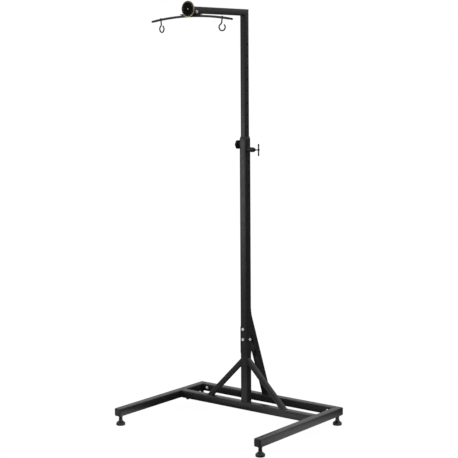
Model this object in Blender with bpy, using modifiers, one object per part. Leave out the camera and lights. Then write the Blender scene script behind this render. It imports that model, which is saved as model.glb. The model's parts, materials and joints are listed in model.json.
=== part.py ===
"""Free-standing gong stand: a tube base on four levelling feet, a braced telescoping mast,
a forward arm and a curved bar with two open hooks.

Metres, +Z up, floor at z = 0. -Y is the front, where the gong hangs. The origin is the middle
of the footprint, and the mast stands behind it on the plane x = 0.
"""

import math

import bmesh
import bpy
from mathutils import Euler, Matrix, Vector

# ---------------------------------------------------------------- driving dimensions
GAP = 0.0003                # clearance between touching pieces

# base
BASE_WIDTH = 0.934          # over the two side rails
RAIL_LENGTH = 0.714         # over both end caps
RAIL_HEIGHT = 0.050         # underside of the rails above the floor
TUBE = 0.040                # rails, crossbars, post and lower mast
WALL = 0.002
CORNER = 0.0030             # outer corner radius of the 40 mm tube
MAST_SETBACK = 0.506        # mast axis behind the rails' front ends
CAP_FLANGE = 0.0045         # end cap standing out of the rail
CAP_SKIRT = 0.0125          # end cap inside the rail, clear of the stems

# crossbar joints
STUB_LENGTH = 0.085
CROSSBAR_BOLT_X = 0.398
CROSSBAR_BOLT_R = 0.004

# lower mast, post and splice
POST_TOP = 0.400
LOWER_MAST_TOP = 1.461
SLEEVE_BOTTOM = 0.352
SLEEVE_TOP = 0.491
SLEEVE_WALL = 0.0014
SPLICE_UPPER_Z = 0.479
SPLICE_LOWER_Z = 0.425
SPLICE_BOLT_R = 0.004

# braces
SIDE_BRACE = 0.025
SIDE_BRACE_TOP = 0.326      # upper face where it meets the post, 45 degrees from there down
REAR_BRACE = 0.034
REAR_BRACE_TILT = math.radians(20.2)
REAR_BRACE_TOP = 0.527      # its axis at the mast's rear face
REAR_PLATE = 0.004

# height adjustment
INNER = 0.032               # upper mast and arm
HOLE_PITCH = 0.059
HOLE_R = 0.0045
PIN_Z = 1.409
PIN_R = 0.004
HOLES_ABOVE_PIN = 9
HOLES_BELOW_PIN = 2
LOWER_MAST_HOLES = 4        # open holes below the pin
UPPER_MAST_BOTTOM = 1.100
KNOB_Z = 1.433
KNOB_R = 0.0232
KNOB_LOBES = 6

# arm, bar and hooks
ARM_TOP = 2.1136
ARM_REACH = 0.438           # arm's front end ahead of the mast axis
BADGE_R = 0.039
BADGE_Z = 2.101
BRACKET_BOLT_Z = 2.0885
BRACKET_BOLT_REACH = 0.402
BAR_REACH = 0.4196
BAR_CROWN = 2.068           # bar axis at the middle
BAR_BEND = 1.488            # radius of the bar's curve
BAR_R = 0.0055
BAR_HALF = 0.231            # half of the bar without its end plugs
RIGHT_HOOK_X = 0.188
LEFT_HOOK_X = -0.1915
LEFT_HOOK_OFFSET = 0.0      # loop's middle beside the shank's axis
RIGHT_HOOK_OFFSET = 0.0045
HOOK_WIRE_R = 0.0030
HOOK_LOOP_R = 0.016         # to the middle of the wire
HOOK_DROP = 0.0446          # middle of the loop below the bar's axis
RIGHT_HOOK_TURN = math.radians(12)
LEFT_HOOK_TURN = math.radians(-10)

# feet
FOOT_INSET = 0.0245         # foot axis behind the rail's end
PAD_R = 0.0235
PAD_NECK = 0.037            # top of the pad's neck
STEM_R = 0.006
STEM_TOP = 0.079
LOCK_NUT_AF = 0.0185
LOCK_NUT_BOTTOM = 0.0395

# ---------------------------------------------------------------- derived positions
RAIL_X = (BASE_WIDTH - TUBE) / 2
FRONT_Y = -RAIL_LENGTH / 2
REAR_Y = RAIL_LENGTH / 2
MAST_Y = FRONT_Y + MAST_SETBACK
RAIL_TOP = RAIL_HEIGHT + TUBE
CROSSBAR_Z = RAIL_HEIGHT + TUBE / 2
REAR_CROSSBAR_Y = REAR_Y - TUBE / 2
HALF = TUBE / 2
HALF_INNER = INNER / 2
SLEEVE = TUBE + 2 * (SLEEVE_WALL + GAP)
ARM_Z = ARM_TOP - HALF_INNER
ARM_FRONT_Y = MAST_Y - ARM_REACH
BAR_Y = MAST_Y - BAR_REACH
TURN_SMOOTH = math.radians(35)

for item in list(bpy.data.objects):
    bpy.data.objects.remove(item)


def new_collection(name):
    """Make a collection in the scene."""
    made = bpy.data.collections.new(name)
    bpy.context.scene.collection.children.link(made)
    return made


STAND = new_collection("gong_stand")
CUTTERS = new_collection("cutters")


def finish(name, colour, roughness, metallic):
    """Make a Principled material."""
    made = bpy.data.materials.new(name)
    made.use_nodes = True
    shader = made.node_tree.nodes["Principled BSDF"]
    shader.inputs["Base Color"].default_value = (*colour, 1.0)
    shader.inputs["Roughness"].default_value = roughness
    shader.inputs["Metallic"].default_value = metallic
    return made


POWDER_COAT = finish("powder_coat", (0.018, 0.018, 0.019), 0.36, 0.0)
BLACK_PLASTIC = finish("black_plastic", (0.014, 0.014, 0.0145), 0.45, 0.0)
ZINC = finish("zinc", (0.72, 0.73, 0.75), 0.30, 1.0)
BLACKENED = finish("blackened_steel", (0.05, 0.05, 0.052), 0.40, 0.8)
SPRING_STEEL = finish("spring_steel", (0.45, 0.45, 0.47), 0.30, 1.0)
RUBBER = finish("rubber", (0.018, 0.018, 0.018), 0.70, 0.0)
BADGE_BLACK = finish("badge_black", (0.006, 0.006, 0.006), 0.20, 0.0)
BADGE_GOLD = finish("badge_gold", (0.80, 0.70, 0.42), 0.35, 0.6)


# ---------------------------------------------------------------- shape tools
def add(name, data, material, collection=STAND):
    """Put mesh or curve data in the scene as an object."""
    made = bpy.data.objects.new(name, data)
    collection.objects.link(made)
    if material:
        data.materials.append(material)
    return made


def place(piece, location=(0, 0, 0), rotation=(0, 0, 0), parent=None):
    """Set where a piece is, in its parent's frame."""
    piece.parent = parent
    piece.location = location
    piece.rotation_euler = Euler(rotation)
    return piece


def axis_empty(name, location, rotation=(0, 0, 0)):
    """An empty on a joint's axis, the parent of what turns or slides there."""
    made = bpy.data.objects.new(name, None)
    made.empty_display_size = 0.03
    made.location = location
    made.rotation_mode = "ZYX"
    made.rotation_euler = Euler(rotation, "ZYX")
    STAND.objects.link(made)
    return made


def smooth(mesh):
    """Smooth shading with the real edges kept sharp."""
    mesh.shade_smooth()
    mesh.set_sharp_from_angle(angle=TURN_SMOOTH)


def rounded_square(side, corner, steps=3):
    """Outline of a square with round corners, anticlockwise."""
    inset = side / 2 - corner
    points = []
    for quarter in range(4):
        middle = Vector((inset, inset)) @ Matrix.Rotation(-quarter * math.pi / 2, 2)
        for step in range(steps + 1):
            angle = (quarter + step / steps) * math.pi / 2
            points.append((middle.x + corner * math.cos(angle), middle.y + corner * math.sin(angle)))
    return points


def polygon(sides, across_flats):
    """Outline of a regular polygon."""
    reach = across_flats / 2 / math.cos(math.pi / sides)
    angles = [math.tau * (i + 0.5) / sides for i in range(sides)]
    return [(reach * math.cos(a), reach * math.sin(a)) for a in angles]


def circle(radius, sides=24):
    """Outline of a circle."""
    angles = [math.tau * i / sides for i in range(sides)]
    return [(radius * math.cos(a), radius * math.sin(a)) for a in angles]


def to_mesh(piece):
    """Turn a curve object into a welded mesh object of the same name and place."""
    name = piece.name
    bpy.context.view_layer.update()
    seen = piece.evaluated_get(bpy.context.evaluated_depsgraph_get())
    mesh = bpy.data.meshes.new_from_object(seen)
    bm = bmesh.new()
    bm.from_mesh(mesh)
    bmesh.ops.remove_doubles(bm, verts=bm.verts, dist=1e-6)
    bmesh.ops.recalc_face_normals(bm, faces=bm.faces)
    bm.to_mesh(mesh)
    bm.free()
    smooth(mesh)
    home = piece.users_collection[0]
    matrix = piece.matrix_world.copy()
    parent = piece.parent
    bpy.data.objects.remove(piece)
    made = bpy.data.objects.new(name, mesh)
    home.objects.link(made)
    made.parent = parent
    made.matrix_world = matrix
    return made


def extruded(name, outlines, depth, material, collection=STAND):
    """Extrude flat outlines, the outer one first and then its holes, about the middle of Z."""
    curve = bpy.data.curves.new(name, "CURVE")
    curve.dimensions = "2D"
    curve.fill_mode = "BOTH"
    curve.extrude = depth / 2
    for outline in outlines:
        spline = curve.splines.new("POLY")
        spline.points.add(len(outline) - 1)
        spline.use_cyclic_u = True
        for point, (x, y) in zip(spline.points, outline):
            point.co = (x, y, 0, 1)
    return to_mesh(add(name, curve, material, collection))


def lofted(name, sections, material, ring=False):
    """Loft through rounded squares given as (side, corner radius, height)."""
    bm = bmesh.new()
    loops = []
    for side, corner, height in sections:
        loops.append([bm.verts.new((x, y, height)) for x, y in rounded_square(side, corner)])
    pairs = list(zip(loops, loops[1:]))
    if ring:
        pairs.append((loops[-1], loops[0]))
    else:
        bm.faces.new(loops[0])
        bm.faces.new(loops[-1])
    for low, high in pairs:
        for i in range(len(low)):
            j = (i + 1) % len(low)
            bm.faces.new((low[i], low[j], high[j], high[i]))
    bmesh.ops.recalc_face_normals(bm, faces=bm.faces)
    mesh = bpy.data.meshes.new(name)
    bm.to_mesh(mesh)
    bm.free()
    smooth(mesh)
    return add(name, mesh, material)


def turned(name, profile, material, steps=24, closed=False, collection=STAND):
    """Turn a profile of (radius, height) about Z. It runs down the outer side, top to bottom."""
    mesh = bpy.data.meshes.new(name)
    edges = [(i, i + 1) for i in range(len(profile) - 1)]
    if closed:
        edges.append((len(profile) - 1, 0))
    mesh.from_pydata([(radius, 0, height) for radius, height in profile], edges, [])
    made = add(name, mesh, material, collection)
    screw = made.modifiers.new("turn", "SCREW")
    screw.steps = steps
    screw.render_steps = steps
    screw.use_merge_vertices = True
    screw.merge_threshold = 0.00001
    screw.use_smooth_shade = True
    return made


def swept(name, points, radius, material, sides=3):
    """Round wire along a list of points."""
    curve = bpy.data.curves.new(name, "CURVE")
    curve.dimensions = "3D"
    curve.bevel_depth = radius
    curve.bevel_resolution = sides
    curve.use_fill_caps = True
    spline = curve.splines.new("POLY")
    spline.points.add(len(points) - 1)
    for point, place_at in zip(spline.points, points):
        point.co = (*place_at, 1)
    return to_mesh(add(name, curve, material))


def cutter_mesh(name, bm):
    """Keep a cutter out of the model."""
    mesh = bpy.data.meshes.new(name)
    bm.to_mesh(mesh)
    bm.free()
    made = add(name, mesh, None, CUTTERS)
    hide_cutter(made)
    return made


def hide_cutter(piece):
    """Show a cutter as a wire only."""
    piece.hide_render = True
    piece.display_type = "WIRE"


def box_cutter(name, low, high):
    """A box between two corners."""
    bm = bmesh.new()
    bmesh.ops.create_cube(bm, size=1.0)
    size = Vector(high) - Vector(low)
    middle = (Vector(high) + Vector(low)) / 2
    bmesh.ops.scale(bm, vec=size, verts=bm.verts)
    bmesh.ops.translate(bm, vec=middle, verts=bm.verts)
    return cutter_mesh(name, bm)


def rod_cutter(name, middles, axis, radius, length, sides=14):
    """Round rods of one size and direction, one at each middle point."""
    bm = bmesh.new()
    turn = Vector((0, 0, 1)).rotation_difference(Vector(axis)).to_matrix().to_4x4()
    for middle in middles:
        bmesh.ops.create_cone(
            bm, cap_ends=True, segments=sides, radius1=radius, radius2=radius, depth=length,
            matrix=Matrix.Translation(middle) @ turn,
        )
    return cutter_mesh(name, bm)


def boolean(piece, other, operation="DIFFERENCE"):
    """Cut, keep or join with another solid."""
    step = piece.modifiers.new(operation.lower(), "BOOLEAN")
    step.operation = operation
    step.solver = "EXACT"
    step.object = other
    return piece


def square_tube(name, side, wall, corner, length, material=POWDER_COAT):
    """Hollow square tube along local Z, centred."""
    inner = side - 2 * wall
    outlines = [rounded_square(side, corner), rounded_square(inner, max(corner - wall, 0.0008))]
    return extruded(name, outlines, length, material)


def hex_screw(name, across_flats, head, shank_r, shank, washer_r, washer, material=ZINC):
    """Hex head on a washer with a shank. The head points along +Z and z = 0 is the seat."""
    head_r = across_flats / 2 * 0.9
    profile = [(0, washer + 0.0005), (head_r, washer + 0.0005), (washer_r, washer), (washer_r, 0)]
    profile += [(shank_r, 0), (shank_r, -shank), (0, -shank)]
    made = turned(name, profile, material, steps=18)
    top = extruded(name + "_head", [polygon(6, across_flats)], head, None, CUTTERS)
    hide_cutter(top)
    top.parent = made
    top.location = (0, 0, washer + head / 2 + 0.0002)
    return boolean(made, top, "UNION")


# ---------------------------------------------------------------- base
def build_rails():
    """Side rails with their four end caps."""
    tube_length = RAIL_LENGTH - 2 * (CAP_FLANGE + GAP)
    stem_holes = rod_cutter(
        "stem_holes",
        [(x, y, RAIL_HEIGHT) for x in (-RAIL_X, RAIL_X) for y in foot_rows()],
        (0, 0, 1), STEM_R + 0.0005, 0.012,
    )
    plug = TUBE - 2 * (WALL + GAP)
    cap_sections = [
        (plug, CORNER - WALL, -CAP_SKIRT),
        (plug, CORNER - WALL, 0),
        (TUBE - 0.0004, CORNER, 0),
        (TUBE - 0.0004, CORNER, 0.0018),
        (TUBE - 0.0020, CORNER + 0.0010, 0.0036),
        (TUBE - 0.0060, CORNER + 0.0010, CAP_FLANGE),
    ]
    for side, x in (("left", -RAIL_X), ("right", RAIL_X)):
        rail = square_tube(side + "_rail", TUBE, WALL, CORNER, tube_length)
        place(rail, (x, 0, CROSSBAR_Z), (math.pi / 2, 0, 0))
        boolean(rail, stem_holes)
        for end, y, turn in (("front", FRONT_Y, math.pi / 2), ("rear", REAR_Y, -math.pi / 2)):
            cap = lofted(f"{side}_{end}_end_cap", cap_sections, BLACK_PLASTIC)
            seat = y + math.copysign(CAP_FLANGE, -y)
            place(cap, (x, seat, CROSSBAR_Z), (turn, 0, 0))


def foot_rows():
    """Y of the front and the rear feet."""
    return (FRONT_Y + FOOT_INSET, REAR_Y - FOOT_INSET)


def crossbar_stubs(row, y, holes):
    """Short tubes welded to the rails, which slide into a crossbar's ends and take its bolts."""
    for side, sign in (("left", -1), ("right", 1)):
        name = f"{side}_{row}_stub"
        stub = square_tube(name, TUBE - 2 * (WALL + GAP), 0.0025, 0.0024, STUB_LENGTH)
        inner_face = RAIL_X - HALF - GAP
        place(stub, (sign * (inner_face - STUB_LENGTH / 2), y, CROSSBAR_Z), (0, math.pi / 2, 0))
        boolean(stub, holes)


def build_crossbars():
    """Front crossbar bolted from below and rear crossbar bolted from its front face."""
    span = BASE_WIDTH - 2 * TUBE - 2 * GAP
    bolt_x = (-CROSSBAR_BOLT_X, CROSSBAR_BOLT_X)
    front = square_tube("front_crossbar", TUBE, WALL, CORNER, span)
    place(front, (0, MAST_Y, CROSSBAR_Z), (0, math.pi / 2, 0))
    front_holes = rod_cutter(
        "front_crossbar_holes", [(x, MAST_Y, RAIL_HEIGHT) for x in bolt_x],
        (0, 0, 1), CROSSBAR_BOLT_R + GAP, 0.016,
    )
    boolean(front, front_holes)
    crossbar_stubs("front", MAST_Y, front_holes)

    face_y = REAR_CROSSBAR_Y - HALF
    rear = square_tube("rear_crossbar", TUBE, WALL, CORNER, span)
    place(rear, (0, REAR_CROSSBAR_Y, CROSSBAR_Z), (0, math.pi / 2, 0))
    rear_holes = rod_cutter(
        "rear_crossbar_holes", [(x, face_y, CROSSBAR_Z) for x in bolt_x],
        (0, 1, 0), CROSSBAR_BOLT_R + GAP, 0.016,
    )
    boolean(rear, rear_holes)
    crossbar_stubs("rear", REAR_CROSSBAR_Y, rear_holes)

    dome = [
        (0, 0.0068), (0.0045, 0.0062), (0.0072, 0.0044), (0.0085, 0.0018), (0.0085, 0.0010),
        (0.0118, 0.0010), (0.0118, 0), (CROSSBAR_BOLT_R, 0), (CROSSBAR_BOLT_R, -0.012), (0, -0.012),
    ]
    for side, x in zip(("left", "right"), bolt_x):
        screw = hex_screw(
            side + "_front_crossbar_bolt", 0.016, 0.0068, CROSSBAR_BOLT_R, 0.012, 0.0100, 0.0020,
            BLACKENED,
        )
        place(screw, (x, MAST_Y, RAIL_HEIGHT - GAP), (math.pi, 0, 0))
        bolt = turned(side + "_rear_crossbar_bolt", dome, ZINC, steps=20)
        place(bolt, (x, face_y - GAP, CROSSBAR_Z), (math.pi / 2, 0, 0))


def build_post_and_braces():
    """Post, two side braces and the rear brace with its plate."""
    bottom = RAIL_TOP + GAP
    post = square_tube("base_post", TUBE, WALL, CORNER, POST_TOP - bottom)
    place(post, (0, MAST_Y, (POST_TOP + bottom) / 2))

    drop = SIDE_BRACE_TOP - RAIL_TOP
    middle_x = HALF + drop / 2 - SIDE_BRACE / 2 * math.sqrt(0.5)
    middle_z = RAIL_TOP + drop / 2 - SIDE_BRACE / 2 * math.sqrt(0.5)
    for side, sign in (("left", -1), ("right", 1)):
        brace = square_tube(side + "_brace", SIDE_BRACE, 0.0016, 0.003, drop * 2)
        place(brace, (sign * middle_x, MAST_Y, middle_z), (0, -sign * math.pi / 4, 0))
        corners = sorted([sign * (HALF + GAP), sign * 0.5])
        keep = box_cutter(
            side + "_brace_space",
            (corners[0], MAST_Y - 0.1, bottom), (corners[1], MAST_Y + 0.1, 0.5),
        )
        boolean(brace, keep, "INTERSECT")

    start = HALF + REAR_PLATE + 2 * GAP
    brace = square_tube("rear_brace", REAR_BRACE, WALL, CORNER, 0.7)
    slope = math.tan(REAR_BRACE_TILT)
    centre_z = REAR_BRACE_TOP / 2
    centre_y = MAST_Y + HALF + (REAR_BRACE_TOP - centre_z) * slope
    place(brace, (0, centre_y, centre_z), (REAR_BRACE_TILT, 0, 0))
    keep = box_cutter("rear_brace_space", (-0.1, MAST_Y + start, bottom), (0.1, MAST_Y + 0.4, 0.8))
    boolean(brace, keep, "INTERSECT")

    half_cut = REAR_BRACE / 2 / math.sin(REAR_BRACE_TILT)
    low = SLEEVE_TOP + GAP
    high = REAR_BRACE_TOP + half_cut + 0.006
    plate = extruded("rear_brace_plate", [rounded_square(REAR_BRACE, 0.003)], REAR_PLATE, POWDER_COAT)
    for vertex in plate.data.vertices:
        vertex.co.y += math.copysign((high - low - REAR_BRACE) / 2, vertex.co.y)
    middle_y = MAST_Y + HALF + GAP + REAR_PLATE / 2
    place(plate, (0, middle_y, (low + high) / 2), (math.pi / 2, 0, 0))


def build_lower_mast():
    """Outer mast tube, splice sleeve and its screws."""
    mast = square_tube("lower_mast", TUBE, WALL, CORNER, LOWER_MAST_TOP - POST_TOP - GAP)
    place(mast, (0, MAST_Y, (LOWER_MAST_TOP + POST_TOP + GAP) / 2))
    rows = range(1, LOWER_MAST_HOLES + 1)
    pin_holes = [(HALF, MAST_Y, PIN_Z - HOLE_PITCH * row) for row in [0, *rows]]
    boolean(mast, rod_cutter("lower_mast_holes", pin_holes, (1, 0, 0), HOLE_R, 0.012))
    clamp_hole = [(-HALF, MAST_Y, KNOB_Z)]
    boolean(mast, rod_cutter("clamp_hole", clamp_hole, (1, 0, 0), 0.0046, 0.012))

    sleeve = square_tube("splice_sleeve", SLEEVE, SLEEVE_WALL, CORNER + SLEEVE_WALL, SLEEVE_TOP - SLEEVE_BOTTOM)
    place(sleeve, (0, MAST_Y, (SLEEVE_TOP + SLEEVE_BOTTOM) / 2))
    front = MAST_Y - SLEEVE / 2
    front_holes = rod_cutter(
        "splice_front_holes",
        [(0, front, z) for z in (SPLICE_UPPER_Z, SPLICE_LOWER_Z)],
        (0, 1, 0), SPLICE_BOLT_R + GAP, 0.012,
    )
    side_hole = rod_cutter(
        "splice_side_hole", [(SLEEVE / 2, MAST_Y, SPLICE_LOWER_Z)], (1, 0, 0), SPLICE_BOLT_R + GAP, 0.012,
    )
    for piece in (sleeve, mast):
        boolean(piece, front_holes)
        boolean(piece, side_hole)
    spots = (
        ("splice_bolt_upper", (0, front - GAP, SPLICE_UPPER_Z), (math.pi / 2, 0, 0)),
        ("splice_bolt_lower", (0, front - GAP, SPLICE_LOWER_Z), (math.pi / 2, 0, 0)),
        ("splice_bolt_side", (SLEEVE / 2 + GAP, MAST_Y, SPLICE_LOWER_Z), (0, math.pi / 2, 0)),
    )
    for name, location, rotation in spots:
        screw = hex_screw(name, 0.013, 0.0055, SPLICE_BOLT_R, 0.008, 0.0088, 0.0014)
        place(screw, location, rotation)


def build_mast_head():
    """Guide bushing, clamp nut, pull pin housing and spring on the lower mast."""
    bore = INNER + 2 * GAP
    skirt = TUBE - 2 * (WALL + GAP)
    top = LOWER_MAST_TOP + GAP
    bushing = lofted(
        "mast_bushing",
        [
            (skirt, CORNER - WALL, top - 0.020),
            (skirt, CORNER - WALL, top),
            (TUBE - 0.0004, CORNER, top),
            (TUBE - 0.0004, CORNER, top + 0.0030),
            (TUBE - 0.0030, CORNER, top + 0.0085),
            (INNER + 0.0030, CORNER - 0.001, top + 0.0135),
            (bore, 0.003, top + 0.0135),
            (bore, 0.003, top - 0.020),
        ],
        BLACK_PLASTIC, ring=True,
    )
    place(bushing, (0, MAST_Y, 0))
    lug = box_cutter(
        "bushing_lug",
        (-HALF - 0.0032, MAST_Y - 0.006, top + 0.0012), (-HALF + 0.0020, MAST_Y + 0.006, top + 0.0062),
    )
    boolean(bushing, lug, "UNION")

    nut = turned(
        "clamp_nut",
        [(0.0075, 0.0072), (0.0090, 0.0060), (0.0100, 0), (0.0044, 0), (0.0044, 0.0072)],
        POWDER_COAT, closed=True,
    )
    place(nut, (-HALF - GAP, MAST_Y, KNOB_Z), (0, -math.pi / 2, 0))

    # barrel profile in its own frame, z = 0 on the mast's face and +Z outwards
    housing = turned(
        "pin_housing",
        [
            (0.0034, 0.0460), (0.0052, 0.0460), (0.0106, 0.0372), (0.0124, 0.0340), (0.0124, 0.0075),
            (0.0142, 0.0060), (0.0142, 0), (PIN_R + GAP, 0), (PIN_R + GAP, 0.0034), (0.0076, 0.0034),
            (0.0076, 0.0315), (0.0034, 0.0315),
        ],
        BLACKENED, closed=True,
    )
    place(housing, (HALF + GAP, MAST_Y, PIN_Z), (0, math.pi / 2, 0))

    turns = 5
    start, end = 0.0168, 0.0306
    points = []
    for step in range(turns * 9 + 1):
        angle = math.tau * step / 9
        height = start + (end - start) * step / (turns * 9)
        points.append((0.0053 * math.cos(angle), 0.0053 * math.sin(angle), height))
    spring = swept("pin_spring", points, 0.0006, SPRING_STEEL, sides=1)
    place(spring, (HALF + GAP, MAST_Y, PIN_Z), (0, math.pi / 2, 0))


def build_clamp():
    """Lobed knob on its screw, which presses on the inner tube."""
    axis = axis_empty("clamp_axis", (-HALF, MAST_Y, KNOB_Z), (0, -math.pi / 2, 0))
    outline = []
    for step in range(KNOB_LOBES * 8):
        angle = math.tau * step / (KNOB_LOBES * 8)
        reach = KNOB_R - 0.0042 * (0.5 - 0.5 * math.cos(KNOB_LOBES * angle)) ** 1.3
        outline.append((reach * math.cos(angle), reach * math.sin(angle)))
    knob = extruded("clamp_knob", [outline], 0.0155, BLACK_PLASTIC)
    place(knob, (0, 0, 0.0228), (0, 0, math.pi / 2), axis)
    edge = knob.modifiers.new("edge", "BEVEL")
    edge.width = 0.0030
    edge.segments = 2
    edge.limit_method = "ANGLE"
    edge.angle_limit = math.radians(60)
    hub = turned(
        "knob_hub", [(0, 0.018), (0.0115, 0.018), (0.0098, 0.0080), (0, 0.0080)], None,
        collection=CUTTERS,
    )
    hide_cutter(hub)
    place(hub, parent=axis)
    boolean(knob, hub, "UNION")
    bore = rod_cutter("knob_bore", [(0, 0, 0.014)], (0, 0, 1), 0.0043, 0.0180)
    place(bore, parent=axis)
    boolean(knob, bore)
    screw = turned(
        "clamp_screw",
        [(0, 0.0225), (0.0040, 0.0225), (0.0040, -0.0022), (0.0030, -0.0036), (0, -0.0036)],
        ZINC, steps=16,
    )
    place(screw, parent=axis)


def build_pin():
    """Pull pin with its collar, rod and T handle. Its tip rests just clear of the inner tube."""
    axis = axis_empty("pin_axis", (HALF_INNER, MAST_Y, PIN_Z), (0, math.pi / 2, 0))
    plunger = turned(
        "pin_plunger",
        [
            (0, 0.0682), (0.0028, 0.0682), (0.0028, 0.0202), (0.0068, 0.0202), (0.0068, 0.0172),
            (PIN_R, 0.0172), (PIN_R, 0.0020), (0.0030, 0.0005), (0, 0.0005),
        ],
        BLACKENED, steps=16,
    )
    place(plunger, parent=axis)
    half = 0.031
    handle = turned(
        "pin_handle",
        [
            (0, half), (0.0022, half - 0.0004), (0.0037, half - 0.0022), (0.0039, half - 0.0060),
            (0.0034, half - 0.0140), (0.0034, 0.0064), (0.0052, 0.0048), (0.0052, -0.0048),
            (0.0034, -0.0064), (0.0034, -half + 0.0140), (0.0041, -half + 0.0060),
            (0.0038, -half + 0.0022), (0.0022, -half + 0.0004), (0, -half),
        ],
        BLACKENED, steps=16,
    )
    place(handle, (0, 0, 0.0700), (0, math.pi / 2, 0), axis)
    socket = rod_cutter("handle_socket", [(0, 0, 0.0640)], (0, 0, 1), 0.0031, 0.0090)
    place(socket, parent=axis)
    boolean(handle, socket)


# ---------------------------------------------------------------- upper mast and arm
def mitre_cutter(name, sign):
    """Half space on one side of the arm's 45 degree corner joint."""
    reach = 0.3
    bm = bmesh.new()
    bmesh.ops.create_cube(bm, size=reach)
    cutter = cutter_mesh(name, bm)
    shift = sign * (reach / 2 - GAP / 2)
    away = Vector((0, -1, 1)).normalized() * shift
    return place(cutter, Vector((0, MAST_Y, ARM_Z)) + away, (math.pi / 4, 0, 0))


def build_upper_mast(group):
    """Inner tube with its guide, and the forward arm."""
    top = ARM_TOP + 0.05
    mast = square_tube("upper_mast", INNER, WALL, 0.0035, top - UPPER_MAST_BOTTOM)
    place(mast, (0, 0, (top + UPPER_MAST_BOTTOM) / 2), parent=group)
    boolean(mast, mitre_cutter("mast_mitre", 1))
    rows = range(-HOLES_BELOW_PIN, HOLES_ABOVE_PIN + 1)
    holes = [(HALF_INNER, MAST_Y, PIN_Z + HOLE_PITCH * row) for row in rows]
    boolean(mast, rod_cutter("upper_mast_holes", holes, (1, 0, 0), HOLE_R, 0.012))

    plug = INNER - 2 * (WALL + GAP)
    flange = TUBE - 2 * WALL - 2 * GAP
    base = UPPER_MAST_BOTTOM - GAP
    guide = lofted(
        "upper_mast_guide",
        [
            (flange - 0.0010, 0.0015, base - 0.0080),
            (flange, 0.0020, base - 0.0070),
            (flange, 0.0020, base - 0.0010),
            (flange - 0.0010, 0.0015, base),
            (plug, 0.0012, base),
            (plug, 0.0012, base + 0.020),
            (plug - 0.005, 0.0012, base + 0.020),
            (plug - 0.005, 0.0012, base - 0.0080),
        ],
        BLACK_PLASTIC, ring=True,
    )
    place(guide, parent=group)

    tail = 0.05
    arm = square_tube("hanger_arm", INNER, WALL, 0.0035, ARM_REACH + tail)
    place(arm, (0, (tail - ARM_REACH) / 2, ARM_Z), (math.pi / 2, 0, 0), group)
    boolean(arm, mitre_cutter("arm_mitre", -1))
    bolt_spots = [(0, ARM_FRONT_Y + ARM_REACH - BRACKET_BOLT_REACH, BRACKET_BOLT_Z)]
    bolt_hole = rod_cutter("bracket_bolt_hole", bolt_spots, (1, 0, 0), 0.0033, 0.06)
    boolean(arm, bolt_hole)
    return bolt_hole


def build_arm_head(group, bolt_hole):
    """Bracket under the arm's front end, and the round badge that plugs into it."""
    cheek = 0.002
    inner_half = HALF_INNER + GAP
    outer_half = inner_half + cheek
    web_top = ARM_TOP - INNER - GAP
    web_bottom = web_top - 0.0025
    cheek_top = 2.1005
    bracket = extruded(
        "hanger_bracket",
        [[
            (-outer_half, web_bottom), (outer_half, web_bottom), (outer_half, cheek_top),
            (inner_half, cheek_top), (inner_half, web_top), (-inner_half, web_top),
            (-inner_half, cheek_top), (-outer_half, cheek_top),
        ]],
        0.052, POWDER_COAT,
    )
    place(bracket, (0, -ARM_REACH + 0.0285, 0), (math.pi / 2, 0, 0), group)
    boolean(bracket, bolt_hole)

    bolt = hex_screw("bracket_bolt", 0.010, 0.0045, 0.0030, 2 * outer_half + 0.0085, 0.0068, 0.0012)
    place(bolt, (outer_half + GAP, -BRACKET_BOLT_REACH, BRACKET_BOLT_Z), (0, math.pi / 2, 0), group)
    nut = extruded("bracket_nut", [polygon(6, 0.010), circle(0.0033, 12)], 0.005, ZINC)
    place(nut, (-outer_half - GAP - 0.0025, -BRACKET_BOLT_REACH, BRACKET_BOLT_Z), (0, math.pi / 2, 0), group)

    saddle_top = web_bottom - GAP
    saddle_bottom = BAR_CROWN + BAR_R + GAP
    saddle = extruded(
        "bar_saddle",
        [[(-0.0630, saddle_bottom), (0.0630, saddle_bottom), (0.0595, saddle_top), (-0.0595, saddle_top)]],
        0.020, POWDER_COAT,
    )
    place(saddle, (0, -BAR_REACH, 0), (math.pi / 2, 0, 0), group)

    back_y = -ARM_REACH - GAP
    disc = turned(
        "badge_disc",
        [
            (0, 0.0060), (BADGE_R - 0.0030, 0.0060), (BADGE_R - 0.0030, 0.0046), (BADGE_R, 0.0046),
            (BADGE_R, 0.0030), (0.0190, 0.0012), (0.0190, 0), (0, 0),
        ],
        BADGE_BLACK, steps=40,
    )
    place(disc, (0, back_y, BADGE_Z), (math.pi / 2, 0, 0), group)
    plug_outline = rounded_square(INNER - 2 * (WALL + GAP), 0.0016)
    plug = extruded("badge_plug", [plug_outline], 0.016, None, CUTTERS)
    hide_cutter(plug)
    place(plug, (0, back_y + 0.006, ARM_Z), (math.pi / 2, 0, 0), group)
    boolean(disc, plug, "UNION")
    rim = turned(
        "badge_rim",
        [
            (BADGE_R - 0.0006, 0.0067), (BADGE_R, 0.0060), (BADGE_R, 0.0049),
            (BADGE_R - 0.0027, 0.0049), (BADGE_R - 0.0027, 0.0064), (BADGE_R - 0.0020, 0.0067),
        ],
        BADGE_GOLD, steps=40, closed=True,
    )
    place(rim, (0, back_y, BADGE_Z), (math.pi / 2, 0, 0), group)


def bar_point(x):
    """Height and slope angle of the bar's axis at a distance from the middle."""
    angle = math.asin(x / BAR_BEND)
    return BAR_CROWN - BAR_BEND * (1 - math.cos(angle)), angle


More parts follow.
